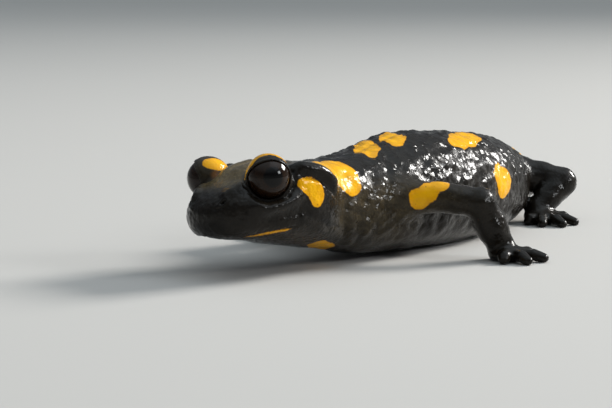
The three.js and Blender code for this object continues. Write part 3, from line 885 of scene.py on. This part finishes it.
def spot_distance(points):
    """Distance outside the yellow spots, negative inside."""
    p = points[:, :3]
    s, v, z = body_places(points)
    rho, _ = section_measure(s, v, z)
    warp = noise_rows(p, 3.2, 71) * 0.15 + noise_rows(p, 1.1, 74) * 0.05
    plain = on_plain_skin(s, v, z) + warp
    best = np.full(len(p), 9.0)
    i = (trunk_distance(s, v, z) <= 1) | (s < HEAD_END)
    for spot in SPOTS:
        knots = [(t, *on_section(t, angle), radius) for t, angle, radius in spot]
        best[i] = union(best[i], thick_line(plain[i], knots), SPOT_BLEND)
    band = LIP_EDGE_WIDTH * between(s, LIP_EDGE_FROM, LIP_EDGE_TO - 4, LIP_EDGE_TO - 0.8, LIP_EDGE_TO)
    edge = np.abs(z - mouth_height(s) + LIP_EDGE_DEPTH) - band
    i = (s >= LIP_EDGE_FROM) & (s <= LIP_EDGE_TO) & (rho >= 0.8)
    best[i] = np.minimum(best[i], edge[i])
    i = s < 13
    here = np.column_stack([s, v, z])[i] + warp[i] * 0.35
    for spot in LID_SPOTS:
        best[i] = np.minimum(best[i], thick_line(here, spot))
    for name, bone, share, turn, radius in LIMB_SPOTS:
        limb = LIMB_SHAPES[name]
        a, b = (limb.root, limb.joint, limb.ankle)[bone : bone + 2]
        way = (b - a) / np.linalg.norm(b - a)
        ahead = np.cross(way, [0, 0, 1]) * limb.side
        ahead /= np.linalg.norm(ahead)
        up = np.cross(ahead, way) * limb.side
        out = math.cos(math.radians(turn)) * ahead + math.sin(math.radians(turn)) * up
        centre = a + (b - a) * share + limb.radii[1 + 2 * bone] * out
        best = union(best, np.linalg.norm(p + 2.2 * warp - centre, axis=1) - radius, SPOT_BLEND)
    return best


def brown_and_painted_light_share(points):
    """How brown the skin is: most on the snout's top, partly its own brown and partly painted light on the
    top; a little on throat and neck.
    """
    s, v, z = body_places(points)
    p = points[:, :3]
    angle = section_angle(s, np.abs(v), z)
    # painted light, in part: the upward-facing top of the snout is made a lighter brown, as if lit from
    # above
    top = between(s, 1.8, 5.5, 9, 19) * step(angle, 50, 76)
    throat = between(s, 2, 9, 26, 44) * (1 - step(angle, -62, -8))
    neck = between(s, 18, 23, 34, 42) * between(angle, -60, -10, 16, 40)
    share = np.maximum.reduce([0.95 * top, 0.08 * throat, 0.2 * neck])
    for eye in EYES:
        share *= 0.25 + 0.75 * step(eye.away(p), 3.6, 4.4)
    return (share * (1 + 0.5 * noise(p, 1.3, 91))).clip(0, 1)


def bumpy_share(points):
    """How round the wet glands stand: 1 on back and flanks, less on the legs, 0 on the head."""
    s, v, z = body_places(points)
    return step(s, 19, 27) * (1 - 0.5 * limb_share(s, v, z)) * step(z, 2, 7)


def orange_share(points):
    """How orange the skin is: only in a soft spot on the forehead."""
    away = np.linalg.norm(np.column_stack(body_places(points)) - FOREHEAD_SPOT, axis=1)
    patch = 1 - step(away, 0, FOREHEAD_RADIUS)
    return patch * (0.6 + 0.4 * noise(points[:, :3], 0.7, 93)).clip(0, 1)


# ------------ materials


class Tree:
    """The node tree of a material or of the world, and short ways to fill it. Sizes are in mm."""

    def __init__(self, owner):
        owner.use_nodes = True
        self.nodes, self.links = owner.node_tree.nodes, owner.node_tree.links
        self.places = self.nodes.new("ShaderNodeTexCoord").outputs

    def feed(self, made, inputs):
        """Links or sets a node's inputs, given by name or number."""
        for key, value in inputs.items():
            if isinstance(value, bpy.types.NodeSocket):
                self.links.new(value, made.inputs[key])
            else:
                made.inputs[key].default_value = value

    def add(self, kind, output, inputs, **settings):
        """The output of a new node."""
        made = self.nodes.new("ShaderNode" + kind)
        for key, value in settings.items():
            setattr(made, key, value)
        self.feed(made, inputs)
        return made.outputs[output]

    def texture(self, kind, output, size, **inputs):
        scaled = {"Vector": self.places["Object"], "Scale": 1 / (size * MM)}
        return self.add(kind, output, scaled | inputs)

    def grain(self, size, detail=2, roughness=0.5):
        return self.texture("TexNoise", "Fac", size, Detail=detail, Roughness=roughness)

    def cells(self, size):
        return self.texture("TexVoronoi", "Distance", size)

    def measure(self, name):
        return self.add("Attribute", "Fac", {}, attribute_name=name)

    def maths(self, operation, a, b):
        return self.add("Math", 0, {0: a, 1: b}, operation=operation)

    def times(self, a, b):
        return self.maths("MULTIPLY", a, b)

    def ranged(self, value, low, high, to_low, to_high):
        return self.add("MapRange", 0, {0: value, 1: low, 2: high, 3: to_low, 4: to_high})

    def mixed(self, share, a, b):
        """The colour between a and b by share."""
        return self.add("Mix", 2, {"Factor": share, 6: a, 7: b}, data_type="RGBA")

    def bump(self, height, strength, distance):
        inputs = {"Height": height, "Strength": strength, "Distance": distance * MM}
        return self.add("Bump", "Normal", inputs)

    def ramp(self, value, stops):
        """A colour ramp through (place, colour)."""
        made = self.nodes.new("ShaderNodeValToRGB")
        elements = made.color_ramp.elements
        while len(elements) < len(stops):
            elements.new(0.5)
        for element, (at, colour) in zip(elements, stops):
            element.position = at
            element.color = colour
        self.feed(made, {"Fac": value})
        return made.outputs["Color"]


def new_material(name):
    material = bpy.data.materials.new(name)
    tree = Tree(material)
    return material, tree, tree.nodes["Principled BSDF"]


BLACK = (0.0040, 0.0034, 0.0026, 1)
BLACK_WARM = (0.012, 0.009, 0.006, 1)
# partly the skin's own brown, partly painted light: it lightens the top of the snout as if lit from above
BROWN_AND_PAINTED_TOP_LIGHT = (0.165, 0.122, 0.060, 1)
FLECK = (0.33, 0.24, 0.11, 1)
ORANGE_BROWN = (0.42, 0.15, 0.02, 1)
YELLOW = (0.80, 0.40, 0.0016, 1)
AMBER = (0.70, 0.29, 0.0016, 1)
YELLOW_PORE = (0.25, 0.09, 0.004, 1)
PATCH, FINE_GRAIN, GRANULE, PORE, GLAND = 2.6, 0.5, 0.42, 0.95, 1.8  # sizes of the skin's textures


def skin_material():
    material, tree, shader = new_material("salamander_skin")
    times, ranged, mixed, measure = tree.times, tree.ranged, tree.mixed, tree.measure
    patches, fine = tree.grain(PATCH), tree.grain(FINE_GRAIN, 4)
    granules, pores = tree.cells(GRANULE), tree.cells(PORE)
    black = mixed(patches, BLACK, BLACK_WARM)
    # painted light, in part: the brown and its lighter flecks lighten the top of the snout as if lit from
    # above
    black = mixed(times(measure("brown_and_painted_light"), ranged(fine, 0.3, 0.7, 0.5, 1.0)), black, BROWN_AND_PAINTED_TOP_LIGHT)
    flecks = times(measure("brown_and_painted_light"), ranged(granules, 0.12, 0.3, 0.65, 0.0))
    black = mixed(times(flecks, ranged(patches, 0.4, 0.6, 0.2, 1.0)), black, FLECK)
    black = mixed(measure("orange"), black, ORANGE_BROWN)
    # the spots' edges are ragged, and their rims darker than their middles
    ragged = tree.maths("ADD", measure("spot"), ranged(fine, 0.0, 1.0, -0.16, 0.16))
    yellow = mixed(ranged(ragged, -0.75, 0.1, 0.0, 0.8), YELLOW, AMBER)
    yellow = mixed(ranged(patches, 0.35, 0.75, 0.0, 0.35), yellow, AMBER)
    yellow = mixed(ranged(pores, 0.06, 0.15, 0.75, 0.0), yellow, YELLOW_PORE)
    # the dry skin's fine bumps and pits, and the wet film over it, which rounds over the glands
    height = tree.maths("SUBTRACT", times(fine, 0.35), times(granules, 0.9))
    pits = times(ranged(pores, 0.0, 0.14, 1.0, 0.0), 0.8)
    away = tree.cells(GLAND)
    glands = times(times(away, away), times(measure("bumpy"), -4.2))
    film = tree.maths("ADD", glands, times(height, 0.35))
    finish = {
        "Base Color": mixed(ranged(ragged, -0.07, 0.07, 1.0, 0.0), black, yellow),
        "Roughness": ranged(fine, 0.25, 0.75, 0.24, 0.42),
        "IOR": 1.13,
        "Normal": tree.bump(tree.maths("SUBTRACT", height, pits), 0.55, 0.07),
        "Coat Weight": 0.75,
        "Coat Roughness": 0.09,
        "Coat IOR": 1.27,
        "Coat Normal": tree.bump(film, 1.0, 0.1),
    }
    tree.feed(shader, finish)
    return material


PUPIL = (0.0022, 0.0018, 0.0016, 1)
IRIS_DARK, IRIS_LIGHT = (0.006, 0.003, 0.0016, 1), (0.030, 0.014, 0.006, 1)
IRIS_CLOUD = (0.010, 0.0052, 0.003, 1)
IRIS_FLECK, IRIS_PATCH = 0.35, 1.6
# Angle from the gaze, 1 being half a turn, and the share of iris there.
IRIS_SHARES = [(0, 0), (0.135, 0), (0.17, 1), (0.52, 0.8), (0.75, 0.15)]


def eye_material():
    material, tree, shader = new_material("salamander_eye")
    flecks, clouds = tree.grain(IRIS_FLECK, 4, 0.7), tree.grain(IRIS_PATCH)
    iris = tree.mixed(clouds, tree.mixed(flecks, IRIS_DARK, IRIS_LIGHT), IRIS_CLOUD)
    share = tree.ramp(tree.measure("turn"), [(at, (grey, grey, grey, 1)) for at, grey in IRIS_SHARES])
    finish = {
        "Base Color": tree.mixed(share, PUPIL, iris),
        "Roughness": 0.16,
        "IOR": 1.1,
        "Normal": tree.bump(flecks, 0.15, 0.03),
        "Coat Weight": 0.9,
        "Coat Roughness": 0.04,
        "Coat IOR": 1.3,
    }
    tree.feed(shader, finish)
    return material


FLOOR_COLOUR, FLOOR_SHADE = (0.48, 0.465, 0.44, 1), (0.4656, 0.45105, 0.4268, 1)
FLOOR_PATCH = 1000 / 6


def floor_material():
    material, tree, shader = new_material("pale_floor")
    colour = tree.mixed(tree.grain(FLOOR_PATCH, 3), FLOOR_SHADE, FLOOR_COLOUR)
    tree.feed(shader, {"Base Color": colour, "Roughness": 0.9})
    return material


# ------------ pieces


def in_scene(name, data):
    """A new object, put in the scene."""
    made = bpy.data.objects.new(name, data)
    bpy.context.scene.collection.objects.link(made)
    return made


def make_mesh(name, points, faces, material, measures=()):
    """A smooth-shaded mesh object from points in millimetres of the body's frame."""
    mesh = bpy.data.meshes.new(name)
    mesh.vertices.add(len(points))
    mesh.vertices.foreach_set("co", ((points + SHIFT) * MM).ravel())
    size = faces.shape[1]
    mesh.loops.add(faces.size)
    mesh.loops.foreach_set("vertex_index", faces.ravel().astype(np.int32))
    mesh.polygons.add(len(faces))
    mesh.polygons.foreach_set("loop_start", np.arange(0, faces.size, size, dtype=np.int32))
    mesh.update(calc_edges=True)
    mesh.validate()
    mesh.polygons.foreach_set("use_smooth", np.ones(len(mesh.polygons), bool))
    for key, values in measures:
        attribute = mesh.attributes.new(key, "FLOAT", "POINT")
        attribute.data.foreach_set("value", values.astype(np.float32))
    mesh.materials.append(material)
    return in_scene(name, mesh)


def build_skin():
    points, tris = coarse_skin()
    outward = settle(points, 1)
    relax(points, tris, outward, 0.5)
    for _ in range(2):
        points, tris = refine(points, tris)
        follow_spine(points)
        outward = settle(points, 1)
        relax(points, tris, outward, 0.5)
        follow_spine(points)
        settle(points, 1)
    relax(points, tris, settle(points, 1), 0.4)
    follow_spine(points)
    outward = settle(points, 2)
    measures = [
        ("spot", spot_distance(points)),
        ("brown_and_painted_light", brown_and_painted_light_share(points)),
        ("orange", orange_share(points)),
        ("bumpy", bumpy_share(points)),
    ]
    shaped = points[:, :3] + outward * relief(points)[:, None]
    shaped[:, 2] = shaped[:, 2].clip(0)
    skin = make_mesh("skin", shaped, tris, skin_material(), measures)
    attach(skin, "root")
    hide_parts(*[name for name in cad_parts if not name.startswith("eye_")])


EYE_RINGS, EYE_SIDES = 48, 72
CORNEA = 0.05  # how far the cornea stands out


def build_eye(eye, material):
    """An eyeball in rings round its gaze, with a slight bulge of the cornea."""
    turn = np.linspace(0, np.pi, EYE_RINGS + 1)[1:-1]
    round_ = np.arange(EYE_SIDES) / EYE_SIDES * 2 * np.pi
    t, a = (grid.ravel() for grid in np.meshgrid(turn, round_, indexing="ij"))
    radius = EYE_RADIUS + CORNEA * (1 - step(np.degrees(t), 10, 42))
    ways = np.stack([np.cos(t), np.sin(t) * np.cos(a), np.sin(t) * np.sin(a)], 1)
    shell = (ways * radius[:, None]) @ [eye.gaze, eye.across, eye.rise]
    points = np.vstack([shell, eye.gaze * radius[0], -eye.gaze * EYE_RADIUS]) + eye.centre
    turns = np.append(t, [0, np.pi]) / np.pi
    grid = np.arange(len(t)).reshape(EYE_RINGS - 1, EYE_SIDES)
    beside = np.roll(grid, -1, 1)
    quads = np.stack([grid[:-1], grid[1:], beside[1:], beside[:-1]], -1).reshape(-1, 4)
    front = np.stack([np.full(EYE_SIDES, len(t)), grid[0], beside[0]], 1)
    rear = np.stack([np.full(EYE_SIDES, len(t) + 1), beside[-1], grid[-1]], 1)
    tris = np.concatenate([quads[:, [0, 1, 2]], quads[:, [0, 2, 3]], front, rear])
    ball = make_mesh(f"eyeball_{eye.word}", points, tris, material, [("turn", turns)])
    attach(ball, "root")
    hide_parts(f"eye_{eye.word}")


# ------------ floor, lights and camera

CAMERA_AZIMUTH, CAMERA_ELEVATION = 40.08, 7.72  # degrees, seen from the look-at point
CAMERA_DISTANCE = 324.7  # mm from LOOK_AT
LOOK_AT = np.array([0.0, 0.0, 10.0])  # in the body's frame
FOCAL_LENGTH, SENSOR_WIDTH = 128, 36
VIEW_TURN, VIEW_TIP = 2.78, 0.28  # degrees the camera is turned to its right and up from LOOK_AT


def direction(azimuth, elevation):
    return turned(math.radians(azimuth), math.radians(elevation))[0]


def aimed(obj, at, target):
    """Puts a camera or light at a point, in mm of the body's frame, looking at another."""
    at, target = (Vector((p + SHIFT) * MM) for p in (at, target))
    turn = (target - at).to_track_quat("-Z", "Y").to_matrix().to_4x4()
    obj.matrix_world = Matrix.Translation(at) @ turn


def add_camera():
    data = bpy.data.cameras.new("camera")
    data.lens = FOCAL_LENGTH
    data.sensor_width = SENSOR_WIDTH
    data.clip_start, data.clip_end = 0.01, 50
    camera = in_scene("camera", data)
    toward = direction(CAMERA_AZIMUTH, CAMERA_ELEVATION)
    right = direction(CAMERA_AZIMUTH + 90, 0)
    up = np.cross(toward, right)
    at = LOOK_AT + toward * CAMERA_DISTANCE
    turned_right, tipped_up = (math.tan(math.radians(angle)) for angle in (VIEW_TURN, VIEW_TIP))
    aimed(camera, at, at + (right * turned_right + up * tipped_up - toward) * CAMERA_DISTANCE)
    bpy.context.scene.camera = camera


# Softboxes: azimuth, elevation (degrees), distance, width, height (m), power (W), colour.
SOFTBOXES = {
    "key": (156, 28, 1.4, 0.50, 0.34, 5.2, (1.0, 0.98, 0.95)),
    "sky": (122, 62, 1.6, 1.60, 1.30, 1.15, (0.78, 0.89, 1.0)),
    "side": (107, 25, 1.2, 0.30, 0.26, 0.8, (0.95, 0.98, 1.0)),
}
BEAM = math.radians(80)  # the softboxes' grids keep their light off the far floor


def add_softbox(name, azimuth, elevation, distance, width, height, power, colour):
    data = bpy.data.lights.new(name, "AREA")
    data.shape = "RECTANGLE"
    data.size, data.size_y = width, height
    data.spread = BEAM
    data.energy = power
    data.color = colour
    light = in_scene(name, data)
    light.visible_camera = False
    aimed(light, LOOK_AT + direction(azimuth, elevation) * distance / MM, LOOK_AT)


# The surroundings' light, from the horizon up: height as sine, colour.
HORIZON, SHADE, OVERHEAD = (0.29, 0.305, 0.305, 1), (0.13, 0.14, 0.16, 1), (0.84, 0.94, 1.0, 1)
SKY = [(0, HORIZON), (0.12, HORIZON), (0.25, SHADE), (0.42, SHADE), (1, OVERHEAD)]
SKY_STRENGTH = 0.95
FLOOR_REACH, FLOOR_DROP = 8000, 0.02  # mm


def build_stage():
    corners = np.array([(-1, -1, 0), (1, -1, 0), (1, 1, 0), (-1, 1, 0)]) * FLOOR_REACH
    floor = make_mesh("floor", corners - [0, 0, FLOOR_DROP], np.array([[0, 1, 2, 3]]), floor_material())
    bpy.context.scene.view_settings.view_transform = "Standard"
    world = bpy.context.scene.world or bpy.data.worlds.new("world")
    bpy.context.scene.world = world
    tree = Tree(world)
    height = tree.add("SeparateXYZ", "Z", {0: tree.places["Generated"]})
    tree.feed(tree.nodes["Background"], {"Color": tree.ramp(height, SKY), "Strength": SKY_STRENGTH})
    for name, values in SOFTBOXES.items():
        add_softbox(name, *values)


def centre_of(name):
    low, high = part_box(name)
    return np.array((low + high) / 2) / MM


# The row's frame has its origin under the middle of the box, so the body's frame is shifted by this.
SHIFTS = [centre_of(f"eye_{eye.word}") - eye.centre for eye in EYES]
SHIFT = np.mean(SHIFTS, axis=0) * [1, 1, 0]

build_skin()
eye_finish = eye_material()
for one_eye in EYES:
    build_eye(one_eye, eye_finish)
build_stage()
add_camera()
